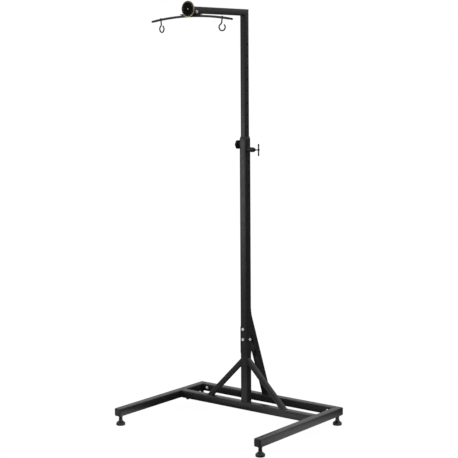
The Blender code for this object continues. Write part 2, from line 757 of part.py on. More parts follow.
def build_bar(group):
    """Curved bar with a plug in each end."""
    count = 20
    limit = math.asin(BAR_HALF / BAR_BEND)
    points = []
    for step in range(count + 1):
        angle = limit * (2 * step / count - 1)
        points.append((BAR_BEND * math.sin(angle), 0, BAR_CROWN - BAR_BEND * (1 - math.cos(angle))))
    bar = swept("hanger_bar", points, BAR_R, POWDER_COAT, sides=4)
    place(bar, (0, -BAR_REACH, 0), parent=group)
    # the left plug is pushed home, the right one stands a little way out on its neck
    for side, sign, neck in (("left", -1, GAP), ("right", 1, 0.0045)):
        height, angle = bar_point(sign * BAR_HALF)
        end = Vector((sign * BAR_HALF, MAST_Y - BAR_REACH, height))
        lean = angle + sign * math.pi / 2
        bore = rod_cutter(side + "_bar_bore", [(0, 0, 0)], (0, 0, 1), 0.0037, 0.050, 12)
        place(bore, end, (0, lean, 0))
        boolean(bar, bore)
        head = 0.019 - neck
        plug = turned(
            side + "_bar_plug",
            [
                (0, neck + head), (0.0034, neck + head - 0.0004), (0.0047, neck + head - 0.0018),
                (0.0050, neck + head - 0.0040), (0.0050, neck), (0.0034, neck), (0.0034, -0.018), (0, -0.018),
            ],
            RUBBER, steps=16,
        )
        place(plug, (sign * BAR_HALF, -BAR_REACH, height), (0, lean, 0), group)
    return bar


def hook_points(offset):
    """Middle line of a hook: shank down the axis, a short bend, then the open loop.

    The loop's middle stands beside the shank's axis by the offset.
    """
    points = [(0, 0, 0.0070), (0, 0, 0.0040), (0, 0, -0.0100), (0, 0, -0.0200)]
    first = math.radians(129)
    last = math.radians(410)
    middle = Vector((offset, -HOOK_DROP))
    loop_start = middle + HOOK_LOOP_R * Vector((math.cos(first), math.sin(first)))
    bend_start = Vector((0, -0.0215))
    pull = 0.0045
    handles = [
        bend_start,
        bend_start + Vector((0, -pull)),
        loop_start + pull * Vector((math.sin(first), -math.cos(first))),
        loop_start,
    ]
    for step in range(5):
        t = step / 5
        weights = [(1 - t) ** 3, 3 * t * (1 - t) ** 2, 3 * t * t * (1 - t), t ** 3]
        x, z = sum((w * h for w, h in zip(weights, handles)), Vector((0, 0)))
        points.append((x, 0, z))
    for step in range(20):
        angle = first + (last - first) * step / 19
        x, z = middle + HOOK_LOOP_R * Vector((math.cos(angle), math.sin(angle)))
        points.append((x, 0, z))
    return points


def build_hooks(bar):
    """Two open hooks that swivel in the bar, each held by a low round head formed on top."""
    sides = (
        ("left", LEFT_HOOK_X, LEFT_HOOK_TURN, LEFT_HOOK_OFFSET),
        ("right", RIGHT_HOOK_X, RIGHT_HOOK_TURN, RIGHT_HOOK_OFFSET),
    )
    for side, x, turn, offset in sides:
        height, lean = bar_point(x)
        axis = axis_empty(side + "_hook_axis", (x, BAR_Y, height), (0, lean, turn))
        hole = rod_cutter(side + "_hook_hole", [(0, 0, 0)], (0, 0, 1), HOOK_WIRE_R + 0.0004, 0.03)
        place(hole, parent=axis)
        boolean(bar, hole)
        hook = swept(side + "_hook", hook_points(offset), HOOK_WIRE_R, BLACKENED)
        place(hook, parent=axis)
        head = turned(
            side + "_hook_head",
            [(0, 0.0082), (0.0024, 0.0080), (0.0040, 0.0073), (0.0048, 0.0060), (0, 0.0060)],
            None, steps=16, collection=CUTTERS,
        )
        hide_cutter(head)
        place(head, parent=axis)
        boolean(hook, head, "UNION")


# ---------------------------------------------------------------- feet
def build_feet():
    """Four levelling feet: lock nut on the rail, threaded stem, and a pad that swivels."""
    front, rear = foot_rows()
    socket = 0.0125
    pad_profile = [
        (0, socket), (STEM_R + 0.0004, socket), (STEM_R + 0.0004, PAD_NECK), (0.0090, PAD_NECK),
        (0.0098, PAD_NECK - 0.0010), (0.0098, 0.0275), (0.0112, 0.0235), (0.0152, 0.0190),
        (0.0205, 0.0145), (PAD_R, 0.0105), (PAD_R, 0.0025), (PAD_R - 0.0012, 0), (0, 0),
    ]
    for row, y in (("front", front), ("rear", rear)):
        for side, x in (("left", -RAIL_X), ("right", RAIL_X)):
            name = f"{row}_{side}"
            stem_axis = axis_empty(name + "_foot_axis", (x, y, 0))
            stem = turned(
                name + "_foot_stem",
                [
                    (0, STEM_TOP), (STEM_R - 0.0010, STEM_TOP), (STEM_R, STEM_TOP - 0.0010),
                    (STEM_R, socket + GAP), (0, socket + GAP),
                ],
                BLACKENED, steps=20,
            )
            place(stem, parent=stem_axis)
            pad = turned(name + "_foot_pad", pad_profile, BLACK_PLASTIC, steps=28)
            place(pad, parent=stem_axis)
            height = RAIL_HEIGHT - GAP - LOCK_NUT_BOTTOM
            nut = extruded(
                name + "_lock_nut", [polygon(6, LOCK_NUT_AF), circle(STEM_R + GAP + 0.0002, 20)],
                height, BLACKENED,
            )
            place(nut, (x, y, LOCK_NUT_BOTTOM + height / 2))


build_rails()
build_crossbars()
build_post_and_braces()
build_lower_mast()
build_mast_head()
build_clamp()
build_pin()
mast_group = axis_empty("mast_slide_axis", (0, MAST_Y, 0))
arm_bolt_hole = build_upper_mast(mast_group)
build_arm_head(mast_group, arm_bolt_hole)
build_hooks(build_bar(mast_group))
build_feet()
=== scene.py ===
import json
import math
import random

import bmesh
import bpy
from mathutils import Matrix, Vector


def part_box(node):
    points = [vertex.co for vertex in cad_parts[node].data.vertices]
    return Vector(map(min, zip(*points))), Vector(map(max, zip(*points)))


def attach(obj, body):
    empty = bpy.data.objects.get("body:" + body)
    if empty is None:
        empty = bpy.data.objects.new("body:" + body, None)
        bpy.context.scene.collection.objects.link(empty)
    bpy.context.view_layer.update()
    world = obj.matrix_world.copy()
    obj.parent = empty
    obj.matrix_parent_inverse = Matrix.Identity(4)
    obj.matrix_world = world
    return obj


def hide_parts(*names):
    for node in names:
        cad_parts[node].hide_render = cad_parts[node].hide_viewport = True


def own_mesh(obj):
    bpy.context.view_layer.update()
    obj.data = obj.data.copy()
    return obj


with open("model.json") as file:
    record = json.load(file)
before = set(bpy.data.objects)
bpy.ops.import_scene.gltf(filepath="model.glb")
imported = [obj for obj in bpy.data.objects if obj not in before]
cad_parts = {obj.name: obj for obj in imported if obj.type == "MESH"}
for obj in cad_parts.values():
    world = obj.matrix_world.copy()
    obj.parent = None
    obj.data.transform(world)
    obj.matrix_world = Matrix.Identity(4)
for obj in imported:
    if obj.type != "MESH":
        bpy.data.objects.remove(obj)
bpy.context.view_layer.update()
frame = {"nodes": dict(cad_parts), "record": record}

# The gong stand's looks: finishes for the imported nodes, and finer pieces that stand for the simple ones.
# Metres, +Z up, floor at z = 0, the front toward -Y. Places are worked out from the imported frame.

NODES = frame["nodes"]
SIDES = (("left", -1), ("right", 1))
FEET = ("front_left", "front_right", "rear_left", "rear_right")
X, Y, Z = Vector((1, 0, 0)), Vector((0, 1, 0)), Vector((0, 0, 1))


# ---------------------------------------------------------------- driving dimensions
def middle(node):
    """Centre of a node's box."""
    low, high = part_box(node)
    return (low + high) / 2


GAP = 0.0003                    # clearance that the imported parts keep
CORE = 0.0001                   # radius of the tiny flat that closes a turned solid on its axis
HALF = 0.020                    # half of the 40 mm tube
HALF_INNER = 0.016              # half of the 32 mm tube
MAST_Y = middle("lower_mast").y
RAIL_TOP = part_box("left_rail")[1].z
RAIL_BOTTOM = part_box("left_rail")[0].z
ARM_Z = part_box("hanger_arm")[1].z - HALF_INNER
PIN = Vector((HALF + GAP, MAST_Y, middle("pin_housing").z))
KNOB = Vector((-HALF, MAST_Y, middle("clamp_knob").z))

BRACE_TUBE = 0.025              # side braces' tube
REAR_TUBE = 0.034               # rear brace's tube
REAR_TILT = math.radians(20.2)  # rear brace's lean from upright

BAR_Y = middle("hanger_bar").y
BAR_R = 0.0055
BAR_BEND = 1.488                # radius of the bar's curve
BAR_HALF = 0.231                # half of the bar's width
BAR_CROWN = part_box("hanger_bar")[1].z - BAR_R
PLUG_LENGTH = 0.019             # from the bar's end to the plug's
PLUG_NECK = {"left": GAP, "right": 0.0068}          # how far a plug's head stands out

HOOK_X = {"left": -0.1915, "right": 0.188}
HOOK_TURN = {"left": math.radians(-10), "right": math.radians(12)}
HOOK_OFFSET = {"left": 0.0, "right": 0.0045}        # loop's middle beside the shank's axis
HOOK_WIRE_R = 0.0032
HOOK_LOOP_R = 0.016
HOOK_DROP = 0.0446              # loop's middle below the bar's axis
HOOK_SHANK = (0.0068, -0.0202)  # top and bottom of the straight shank
HOOK_BEND = -0.0215             # height where the shank turns into the loop
HOOK_ARC = (math.radians(129), math.radians(410))

# Edges that turn by more than these angles stay sharp.
SHARP = math.radians(33)
HEX_SHARP = math.radians(24)
KNOB_SHARP = math.radians(50)
WELD_SHARP = math.radians(60)


# ---------------------------------------------------------------- node trees
RANGE_SOCKETS = ("From Min", "From Max", "To Min", "To Max")


class Nodes:
    """Short ways to add nodes to a node tree."""

    def __init__(self, tree):
        self.tree = tree

    def add(self, kind, **settings):
        """Add a node and set its properties."""
        made = self.tree.nodes.new(kind)
        for key, value in settings.items():
            setattr(made, key, value)
        return made

    def feed(self, node, socket, value):
        """Give a node's socket a link, a colour or another value."""
        entry = node.inputs[socket]
        if isinstance(value, bpy.types.NodeSocket):
            self.tree.links.new(value, entry)
        elif isinstance(value, tuple) and entry.type == "RGBA":
            entry.default_value = (*value, 1.0)
        else:
            entry.default_value = value

    def arithmetic(self, operation, first, second):
        """Add or multiply two values."""
        made = self.add("ShaderNodeMath", operation=operation)
        self.feed(made, 0, first)
        self.feed(made, 1, second)
        return made.outputs[0]

    def blend(self, factor, first, second):
        """Mix two colours."""
        made = self.add("ShaderNodeMix", data_type="RGBA")
        for socket, value in zip((0, 6, 7), (factor, first, second)):
            self.feed(made, socket, value)
        return made.outputs[2]

    def for_camera(self, shown, hidden):
        """One number for what the camera sees directly, and another for all other light."""
        seen = self.add("ShaderNodeLightPath").outputs["Is Camera Ray"]
        made = self.add("ShaderNodeMix", data_type="FLOAT")
        for socket, value in zip((0, 2, 3), (seen, hidden, shown)):
            self.feed(made, socket, value)
        return made.outputs[0]

    def ramp(self, value, before, after, curve="LINEAR"):
        """Stretch one range of values to another, clamped."""
        made = self.add("ShaderNodeMapRange", interpolation_type=curve)
        self.feed(made, "Value", value)
        for socket, number in zip(RANGE_SOCKETS, (*before, *after)):
            self.feed(made, socket, number)
        return made.outputs[0]


class Finish(Nodes):
    """A Principled material with short ways to pattern it."""

    def __init__(self, name, metallic=0.0, specular=0.5):
        self.material = bpy.data.materials.new(name)
        self.material.use_nodes = True
        super().__init__(self.material.node_tree)
        self.shader = self.tree.nodes["Principled BSDF"]
        self.feed(self.shader, "Metallic", metallic)
        self.feed(self.shader, "Specular IOR Level", specular)
        self.place = self.add("ShaderNodeTexCoord").outputs["Object"]

    def colour(self, value):
        """Set or link the base colour."""
        self.feed(self.shader, "Base Color", value)

    def roughness(self, value):
        """Set or link the roughness."""
        self.feed(self.shader, "Roughness", value)

    def noise(self, scale, detail=2.0, rough=0.5, stretch=None):
        """Noise in the object's own place, optionally stretched along an axis."""
        made = self.add("ShaderNodeTexNoise")
        self.feed(made, "Scale", scale)
        self.feed(made, "Detail", detail)
        self.feed(made, "Roughness", rough)
        place = self.place
        if stretch:
            mapping = self.add("ShaderNodeMapping")
            self.feed(mapping, "Vector", place)
            self.feed(mapping, "Scale", stretch)
            place = mapping.outputs[0]
        self.feed(made, "Vector", place)
        return made.outputs["Fac"]

    def patches(self, low, high, scale, **pattern):
        """Noise that is 0 below one level and 1 above another."""
        return self.ramp(self.noise(scale, **pattern), (low, high), (0.0, 1.0))

    def uneven(self, low, high, scale, detail):
        """Roughness that wanders between two levels."""
        self.roughness(self.ramp(self.noise(scale, detail), (0.3, 0.7), (low, high)))

    def cells(self, scale):
        """Distance to the nearest of scattered points."""
        made = self.add("ShaderNodeTexVoronoi", feature="F1")
        self.feed(made, "Scale", scale)
        self.feed(made, "Vector", self.place)
        return made.outputs["Distance"]

    def upward(self):
        """How far the surface faces up, 0 to 1."""
        parts = self.add("ShaderNodeSeparateXYZ")
        self.feed(parts, 0, self.add("ShaderNodeNewGeometry").outputs["Normal"])
        return self.ramp(parts.outputs["Z"], (0.5, 1.0), (0.0, 1.0))

    def bump(self, *layers):
        """Stack bumps given as (height, strength, distance in metres)."""
        below = None
        for height, strength, distance in layers:
            made = self.add("ShaderNodeBump")
            self.feed(made, "Height", height)
            self.feed(made, "Strength", strength)
            self.feed(made, "Distance", distance)
            if below:
                self.feed(made, "Normal", below)
            below = made.outputs[0]
        self.feed(self.shader, "Normal", below)


# ---------------------------------------------------------------- finishes
def shades(base, dark, light):
    """A darker and a lighter version of a colour."""
    return tuple(c * dark for c in base), tuple(c * light for c in base)


def powder_coat(name, base, scuffed=False):
    """Black powder coat: orange peel, a fine grain, uneven gloss and a little dust on top faces."""
    coat = Finish(name)
    mottle = coat.patches(0.35, 0.68, 14, detail=5.0, rough=0.62)
    speck = coat.patches(0.60, 0.78, 1900, rough=0.7)
    dust = coat.arithmetic("MULTIPLY", coat.upward(), coat.patches(0.42, 0.75, 33, detail=6.0, rough=0.7))
    colour = coat.blend(mottle, *shades(base, 0.82, 1.22))
    colour = coat.blend(coat.arithmetic("MULTIPLY", speck, 0.22), colour, (0.11, 0.11, 0.112))
    colour = coat.blend(coat.arithmetic("MULTIPLY", dust, 0.10), colour, (0.20, 0.195, 0.185))
    rough = coat.ramp(coat.noise(48, detail=4.0), (0.3, 0.7), (0.29, 0.39))
    if scuffed:
        streak = coat.patches(0.63, 0.74, 1.0, detail=3.0, rough=0.6, stretch=(900, 900, 7))
        patch = coat.patches(0.48, 0.66, 9, detail=3.0)
        rub = coat.arithmetic("MULTIPLY", streak, patch)
        colour = coat.blend(coat.arithmetic("MULTIPLY", rub, 0.40), colour, (0.13, 0.13, 0.132))
        rough = coat.arithmetic("ADD", rough, coat.arithmetic("MULTIPLY", rub, -0.10))
    coat.colour(colour)
    coat.roughness(rough)
    peel = coat.noise(420, rough=0.45)
    grain = coat.noise(1500, detail=3.0, rough=0.6)
    coat.bump((peel, 0.30, 0.00035), (grain, 0.30, 0.00012))
    return coat.material


def moulded_plastic(name, base, gloss, specular=0.5):
    """Black moulded plastic with a fine spark-eroded texture and faint flow marks."""
    plastic = Finish(name, specular=specular)
    flow = plastic.patches(0.3, 0.7, 60, detail=4.0, rough=0.6, stretch=(1, 1, 0.35))
    plastic.colour(plastic.blend(flow, *shades(base, 0.8, 1.25)))
    plastic.uneven(gloss - 0.06, gloss + 0.06, 160, 3.0)
    plastic.bump((plastic.cells(1700), 0.22, 0.00008), (plastic.noise(700), 0.18, 0.0001))
    return plastic.material


def rubber():
    """Matt black rubber with a light bloom."""
    soft = Finish("rubber")
    bloom = soft.arithmetic("MULTIPLY", soft.patches(0.4, 0.75, 120, detail=5.0, rough=0.65), 0.5)
    soft.colour(soft.blend(bloom, (0.017, 0.017, 0.017), (0.045, 0.045, 0.046)))
    soft.uneven(0.54, 0.70, 240, 3.0)
    soft.bump((soft.noise(1300, detail=3.0, rough=0.6), 0.25, 0.0001))
    return soft.material


def zinc():
    """Bright zinc plate: faint yellow and blue tints, fine machining lines, small stains."""
    plate = Finish("zinc", metallic=0.18)
    tint = plate.patches(0.3, 0.7, 190, detail=3.0, rough=0.6)
    colour = plate.blend(tint, (0.90, 0.905, 0.93), (0.95, 0.935, 0.89))
    stain = plate.arithmetic("MULTIPLY", plate.patches(0.60, 0.82, 420, detail=4.0, rough=0.7), 0.30)
    plate.colour(plate.blend(stain, colour, (0.50, 0.49, 0.48)))
    plate.uneven(0.32, 0.50, 800, 3.0)
    plate.bump((plate.noise(2600, stretch=(1, 1, 0.1)), 0.12, 0.00006))
    return plate.material


def black_steel(name, base, rough, metal=0.75):
    """Black oxide steel: dark metal with an oily, uneven gloss and rubbed spots."""
    steel = Finish(name, metallic=metal)
    tint = steel.patches(0.32, 0.7, 260, detail=4.0, rough=0.6)
    rub = steel.arithmetic("MULTIPLY", steel.patches(0.62, 0.80, 700, detail=5.0, rough=0.7), 0.5 * metal)
    colour = steel.blend(tint, *shades(base, 0.75, 1.35))
    steel.colour(steel.blend(rub, colour, (0.22, 0.215, 0.21)))
    steel.uneven(rough - 0.07, rough + 0.08, 500, 3.0)
    steel.bump((steel.noise(1800), 0.15, 0.00006))
    return steel.material


def spring_steel():
    """Bright drawn spring wire."""
    wire = Finish("spring_steel", metallic=1.0)
    tint = wire.patches(0.3, 0.7, 600, detail=3.0)
    wire.colour(wire.blend(tint, (0.40, 0.40, 0.42), (0.56, 0.55, 0.54)))
    wire.roughness(0.26)
    wire.bump((wire.noise(2400), 0.12, 0.00005))
    return wire.material


def badge_black():
    """Deep black enamel."""
    enamel = Finish("badge_black", specular=0.12)
    depth = enamel.patches(0.3, 0.7, 90, detail=4.0)
    enamel.colour(enamel.blend(depth, (0.0015, 0.0015, 0.0015), (0.0045, 0.0040, 0.0035)))
    enamel.uneven(0.12, 0.22, 350, 3.0)
    enamel.bump((enamel.noise(300), 0.05, 0.00006))
    return enamel.material


def badge_gold():
    """Pale satin gold foil."""
    foil = Finish("badge_gold", metallic=0.55)
    tint = foil.patches(0.3, 0.7, 420, detail=3.0)
    foil.colour(foil.blend(tint, (0.84, 0.72, 0.44), (0.93, 0.85, 0.60)))
    foil.uneven(0.27, 0.42, 900, 3.0)
    foil.bump((foil.noise(2200), 0.14, 0.00005))
    return foil.material


COAT_BLACK = (0.012, 0.012, 0.0126)
PLASTIC_BLACK = (0.014, 0.014, 0.0145)
FINISHES = {
    "powder_coat": powder_coat("powder_coat", COAT_BLACK),
    "black_plastic": moulded_plastic("black_plastic", PLASTIC_BLACK, 0.42),
    "zinc": zinc(),
    "blackened_steel": black_steel("blackened_steel", (0.045, 0.045, 0.047), 0.36),
    "spring_steel": spring_steel(),
    "rubber": rubber(),
    "badge_black": badge_black(),
    "badge_gold": badge_gold(),
}
SCUFFED_COAT = powder_coat("powder_coat_scuffed", COAT_BLACK, scuffed=True)
HOOK_STEEL = black_steel("hook_steel", (0.018, 0.018, 0.019), 0.40, 0.45)
PIN_STEEL = black_steel("pin_steel", (0.014, 0.014, 0.015), 0.30, 0.25)
KNOB_PLASTIC = moulded_plastic("knob_plastic", (0.006, 0.006, 0.0064), 0.50, 0.30)
CAP_PLASTIC = moulded_plastic("cap_plastic", (0.012, 0.012, 0.0125), 0.40)
FOOT_PLASTIC = moulded_plastic("foot_plastic", PLASTIC_BLACK, 0.24)


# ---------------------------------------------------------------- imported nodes
SLOTS = {entry["node"]: entry["material_slot"] for entry in frame["record"]["subparts"]}
EDGE_ROUNDING = {
    "bar_saddle": 0.0012, "rear_brace_plate": 0.0008, "bracket_nut": 0.0004, "hanger_bracket": 0.0004,
}
SCUFFED_NODES = ("upper_mast", "lower_mast")
WELD_REACH = 0.00001            # corners closer than this are one corner


def mark_sharp_edges(mesh):
    """Mark real edges as sharp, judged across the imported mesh's separate triangles."""
    faces_at = {}
    keys = [tuple(round(c, 5) for c in vertex.co) for vertex in mesh.vertices]
    for face in mesh.polygons:
        for first, second in face.edge_keys:
            faces_at.setdefault(frozenset((keys[first], keys[second])), []).append(face.normal.copy())
    marks = []
    for edge in mesh.edges:
        normals = faces_at[frozenset(keys[i] for i in edge.vertices)]
        marks.append(len(normals) != 2 or normals[0].angle(normals[1], 0.0) > SHARP)
    flag = mesh.attributes.get("sharp_edge") or mesh.attributes.new("sharp_edge", "BOOLEAN", "EDGE")
    flag.data.foreach_set("value", marks)


def round_edges(piece, width, segments=2):
    """Round a piece's sharp edges."""
    bevel = piece.modifiers.new("edge", "BEVEL")
    bevel.width = width
    bevel.segments = segments
    bevel.limit_method = "ANGLE"
    bevel.angle_limit = SHARP


def dress_nodes():
    """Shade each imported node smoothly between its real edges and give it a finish."""
    for node, slot in SLOTS.items():
        piece = NODES[node]
        mesh = piece.data
        for name in ("custom_normal", "sharp_face"):
            layer = mesh.attributes.get(name)
            if layer:
                mesh.attributes.remove(layer)
        mark_sharp_edges(mesh)
        piece.material_slots[0].material = SCUFFED_COAT if node in SCUFFED_NODES else FINISHES[slot]
        piece.modifiers.new("weld", "WELD").merge_threshold = WELD_REACH
        if node in EDGE_ROUNDING:
            round_edges(piece, EDGE_ROUNDING[node])


dress_nodes()


# ---------------------------------------------------------------- piece tools
def new_piece(name, bm, body, slot, material=None, sharp=SHARP):
    """Make a smooth-shaded piece that rides on a body."""
    bmesh.ops.recalc_face_normals(bm, faces=bm.faces)
    mesh = bpy.data.meshes.new(name)
    bm.to_mesh(mesh)
    bm.free()
    mesh.shade_smooth()
    mesh.set_sharp_from_angle(angle=sharp)
    piece = bpy.data.objects.new(name, mesh)
    bpy.context.scene.collection.objects.link(piece)
    mesh.materials.append(material or FINISHES[slot])
    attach(piece, body)
    return piece


def circle_angles(count):
    """Angles round a circle."""
    return [math.tau * i / count for i in range(count)]


def axis_matrix(origin, axis):
    """Frame with Z along an axis."""
    turn = Z.rotation_difference(Vector(axis))
    return Matrix.Translation(origin) @ turn.to_matrix().to_4x4()


def skin(bm, rings, closed=False):
    """Join rings of points into a tube, with flat ends unless it is closed on itself."""
    loops = [[bm.verts.new(point) for point in ring] for ring in rings]
    pairs = list(zip(loops, loops[1:]))
    if closed:
        pairs.append((loops[-1], loops[0]))
    else:
        bm.faces.new(loops[0])
        bm.faces.new(loops[-1])
    for low, high in pairs:
        for i in range(len(low)):
            j = (i + 1) % len(low)
            bm.faces.new((low[i], low[j], high[j], high[i]))


def lathe(bm, profile, matrix, steps=48, closed=False, shape=None):
    """Turned solid of (radius, height) pairs about the matrix's Z axis.

    shape changes a radius by its height and angle.
    """
    rings = []
    for radius, height in profile:
        ring = []
        for angle in circle_angles(steps):
            reach = shape(radius, height, angle) if shape else radius
            ring.append(matrix @ Vector((reach * math.cos(angle), reach * math.sin(angle), height)))
        rings.append(ring)
    skin(bm, rings, closed)


def rounded(profile, reach, closed=False, steps=3):
    """Round a profile's corners with short arcs. A closed profile has no ends to leave as they are."""
    if closed:
        profile = [profile[-1], *profile, profile[0]]
    made = [] if closed else [profile[0]]
    for before, corner, after in zip(profile, profile[1:], profile[2:]):
        here = Vector(corner)
        back, ahead = Vector(before) - here, Vector(after) - here
        cut = min(reach, back.length * 0.45, ahead.length * 0.45)
        start, end = here + back.normalized() * cut, here + ahead.normalized() * cut
        for step in range(steps + 1):
            t = step / steps
            point = start.lerp(here, t).lerp(here.lerp(end, t), t)
            made.append((point.x, point.y))
    if not closed:
        made.append(profile[-1])
    return made


def turned(profile, reach, matrix, steps=48, closed=False):
    """Turned solid with corners rounded by reach, or a ring with an open middle if closed."""
    bm = bmesh.new()
    lathe(bm, rounded(profile, reach, closed), matrix, steps, closed)
    return bm


def sweep(bm, path, radius, sides=14, closed=False, factors=None):
    """Tube along a path, in a frame that doesn't twist. factors scale the radius point by point."""
    count = len(path)
    tangents = []
    for i in range(count):
        before = path[i - 1] if closed or i else path[0]
        after = path[(i + 1) % count] if closed or i < count - 1 else path[-1]
        tangents.append((after - before).normalized())
    normal = tangents[0].orthogonal().normalized()
    rings = []
    for i, (point, tangent) in enumerate(zip(path, tangents)):
        if i:
            normal = tangents[i - 1].rotation_difference(tangent) @ normal
        normal = (normal - tangent * normal.dot(tangent)).normalized()
        side = tangent.cross(normal)
        reach = radius * (factors[i] if factors else 1.0)
        ring = [point + reach * (math.cos(a) * normal + math.sin(a) * side) for a in circle_angles(sides)]
        rings.append(ring)
    skin(bm, rings, closed)


def resample(points, spacing, closed=False):
    """Evenly spaced points along straight runs between points."""
    source = points + [points[0]] if closed else points
    made = []
    for start, end in zip(source, source[1:]):
        steps = max(1, round((end - start).length / spacing))
        made.extend(start.lerp(end, step / steps) for step in range(steps))
    if not closed:
        made.append(source[-1])
    return made


def rounded_rectangle(width, height, corner, steps=5):
    """Flat outline with round corners, as (x, y) pairs."""
    points = []
    for quarter, (sx, sy) in enumerate(((1, 1), (-1, 1), (-1, -1), (1, -1))):
        cx, cy = sx * (width / 2 - corner), sy * (height / 2 - corner)
        for step in range(steps + 1):
            angle = (quarter + step / steps) * math.pi / 2
            points.append((cx + corner * math.cos(angle), cy + corner * math.sin(angle)))
    return points


def threaded_rod(bm, matrix, radius, pitch, low, high, steps=24):
    """Rod about the matrix's Z axis whose surface follows a thread that fades out at both ends."""
    depth = pitch * 0.55
    rings_per_turn = 7
    end_relief = 0.0003             # how much thinner the rod's ends are
    count = round((high - low) / pitch * rings_per_turn)

    def thread(major, height, angle):
        phase = (height / pitch - angle / math.tau) % 1.0
        cut = depth * (1 - abs(2 * phase - 1)) ** 0.8
        fade = min(1.0, (high - height) / pitch, (height - low) / pitch)
        return major - cut * fade - (1 - fade) * end_relief

    profile = [(radius, low + (high - low) * i / count) for i in range(count + 1)]
    lathe(bm, profile, matrix, steps, shape=thread)


# ---------------------------------------------------------------- welds
WELD_RANDOM = random.Random(7)
WELD_SPACING = 0.24             # distance between a bead's rings, in bead radii
WELD_PITCH = 1.15               # length of a ripple, in bead radii
WELD_SWELL = 310                # slow swelling along a bead, in radians a metre
SEAM = 0.0002                   # how far a bead's middle stands off the face it runs on
BEAD_MARGIN = 0.001             # how much wider than a tube's foot the bead round it is
BEADS = {                       # radius of each bead
    "post": 0.0026, "side_brace": 0.0021, "rear_foot": 0.0022, "rear_head": 0.0018, "plate": 0.0016,
    "sleeve": 0.0013, "pin": 0.0014, "boss": 0.0013, "mitre": 0.0007, "bar": 0.0016, "bracket": 0.0012,
}


def weld(bm, bead, points, closed=False):
    """Bead of overlapping ripples along points."""
    radius = BEADS[bead]
    path = resample(points, radius * WELD_SPACING, closed)
    phase = WELD_RANDOM.random() * math.tau
    factors = []
    run = 0.0
    for i, point in enumerate(path):
        if i:
            run += (point - path[i - 1]).length
        ripple = abs(math.sin(math.pi * run / (radius * WELD_PITCH)))
        swell = math.sin(run * WELD_SWELL + phase)
        factors.append(0.86 + 0.16 * ripple + 0.05 * swell)
    sweep(bm, path, radius, sides=8, closed=closed, factors=factors)


def frame_weld(bm, bead, centre, u, v, width, height, corner=0.003):
    """Bead round a rectangular foot in the plane of u and v."""
    outline = rounded_rectangle(width, height, corner)
    weld(bm, bead, [centre + x * u + y * v for x, y in outline], closed=True)


def boss_weld(bm, bead, centre, radius, steps):
    """Bead round a boss on the mast's side."""
    ring = [Vector((0, radius * math.cos(a), radius * math.sin(a))) for a in circle_angles(steps)]
    weld(bm, bead, [centre + point for point in ring], closed=True)


def side_brace_welds(bm, side, sign, top):
    """Beads at a side brace's foot and at its upper end on the post."""
    low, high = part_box(side + "_brace")
    length = BRACE_TUBE * math.sqrt(2)
    outer = high.x if sign > 0 else -low.x
    long, wide = length + BEAD_MARGIN, BRACE_TUBE + BEAD_MARGIN
    foot = Vector((sign * (outer - length / 2), MAST_Y, top))
    frame_weld(bm, "side_brace", foot, X, Y, long, wide)
    head = Vector((sign * (HALF + SEAM), MAST_Y, high.z - length / 2))
    frame_weld(bm, "side_brace", head, Z, Y, long, wide)


def rear_brace_welds(bm, top):
    """Beads at the rear brace's foot, at its upper end, and behind its plate."""
    corner = 0.004
    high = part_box("rear_brace")[1]
    span = REAR_TUBE / math.cos(REAR_TILT)
    foot = Vector((0, high.y - span / 2, top))
    frame_weld(bm, "rear_foot", foot, X, Y, REAR_TUBE + BEAD_MARGIN, span + BEAD_MARGIN, corner)
    plate_low, plate_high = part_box("rear_brace_plate")
    bottom = max(plate_low.z + 0.003, high.z - REAR_TUBE / math.sin(REAR_TILT))
    head = Vector((0, plate_high.y, (bottom + high.z) / 2))
    frame_weld(bm, "rear_head", head, X, Z, REAR_TUBE - 0.0005, high.z - bottom, corner)
    plate = Vector((0, plate_low.y, (plate_low.z + plate_high.z) / 2))
    frame_weld(bm, "plate", plate, X, Z, REAR_TUBE + SEAM, plate_high.z - plate_low.z)


def base_welds():
    """Beads on the base and the lower mast."""
    bm = bmesh.new()
    top = RAIL_TOP + SEAM
    post_half = 0.0155              # half of the bead's run along the post's foot
    for side, sign in SIDES:
        x = sign * (HALF + 2 * SEAM)
        weld(bm, "post", [Vector((x, MAST_Y - post_half, top)), Vector((x, MAST_Y + post_half, top))])
        side_brace_welds(bm, side, sign, top)
    rear_brace_welds(bm, top)
    sleeve_bottom = Vector((0, MAST_Y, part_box("splice_sleeve")[0].z + GAP))
    sleeve_width = 2 * HALF + 0.0012
    frame_weld(bm, "sleeve", sleeve_bottom, X, Y, sleeve_width, sleeve_width, corner=0.005)
    lift = 0.0006 * X               # from the mast's face to the beads round the bosses on it
    boss_weld(bm, "pin", PIN + lift, 0.0140, 40)
    boss_weld(bm, "boss", KNOB - lift, 0.0100, 32)
    new_piece("base_welds", bm, "base", "powder_coat", sharp=WELD_SHARP)


# ---------------------------------------------------------------- bar and hooks
def bar_axis(angle):
    """Point on the bar's axis at an angle of its curve."""
    height = BAR_CROWN - BAR_BEND * (1 - math.cos(angle))
    return Vector((BAR_BEND * math.sin(angle), BAR_Y, height))


def bar_frame(x, turn, axis):
    """Frame on the bar's axis with Z square to the bar, then turned about one of its own axes."""
    angle = math.asin(x / BAR_BEND)
    square = Matrix.Translation(bar_axis(angle)) @ Matrix.Rotation(angle, 4, "Y")
    return square @ Matrix.Rotation(turn, 4, axis)


